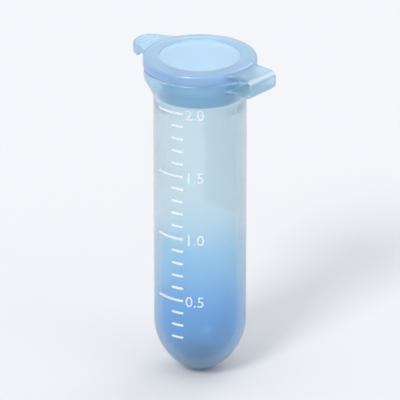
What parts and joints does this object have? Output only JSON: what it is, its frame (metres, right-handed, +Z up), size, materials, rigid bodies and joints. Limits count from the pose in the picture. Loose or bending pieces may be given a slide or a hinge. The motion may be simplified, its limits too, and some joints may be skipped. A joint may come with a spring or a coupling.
{
  "type": "microcentrifuge tube",
  "caption": "Small round-bottomed laboratory tube with a snap lid on a folding strap hinge, a thumb tab and a flared rim.",
  "frame": {"origin": "on the tube's axis, at the top of the plain round body just below the flared rim, where the tube hangs in a rack", "axes": "+Z up along the tube's axis towards the lid, +X towards the hinge, -X towards the thumb tab, graduations on the -Y side"},
  "size_m": [0.0189, 0.0132, 0.0397],
  "materials": {
    "tube_wall": "translucent blue polypropylene, smooth moulded",
    "cap": "translucent blue polypropylene, satin",
    "hinge_strap": "thin pale blue polypropylene, whitened where it folds",
    "frosted": "frosted, takes a marker pen"
  },
  "bodies": {
    "tube": {"barrel": "tube_wall", "round_bottom": "tube_wall", "rim_flange": "cap", "hinge_lower_leaf": "hinge_strap", "graduation_marks": "frosted", "writing_panel": "frosted"},
    "strap": {"hinge_middle_panel": "hinge_strap"},
    "lid": {"hinge_upper_leaf": "hinge_strap", "lid_plate": "cap", "sealing_plug": "cap", "thumb_tab": "cap"}
  },
  "joints": [
    {"name": "lower_fold", "type": "hinge", "parent": "tube", "child": "strap", "pos_m": [0.0093, 0, 0.00245], "axis": [0, 1, 0], "range_deg": [0, 90]},
    {"name": "upper_fold", "type": "hinge", "parent": "strap", "child": "lid", "pos_m": [0.0093, 0, 0.00435], "axis": [0, 1, 0], "range_deg": [0, 90]}
  ],
  "couplings": [
    {"joint": "upper_fold", "follows": "lower_fold", "ratio": 1}
  ]
}
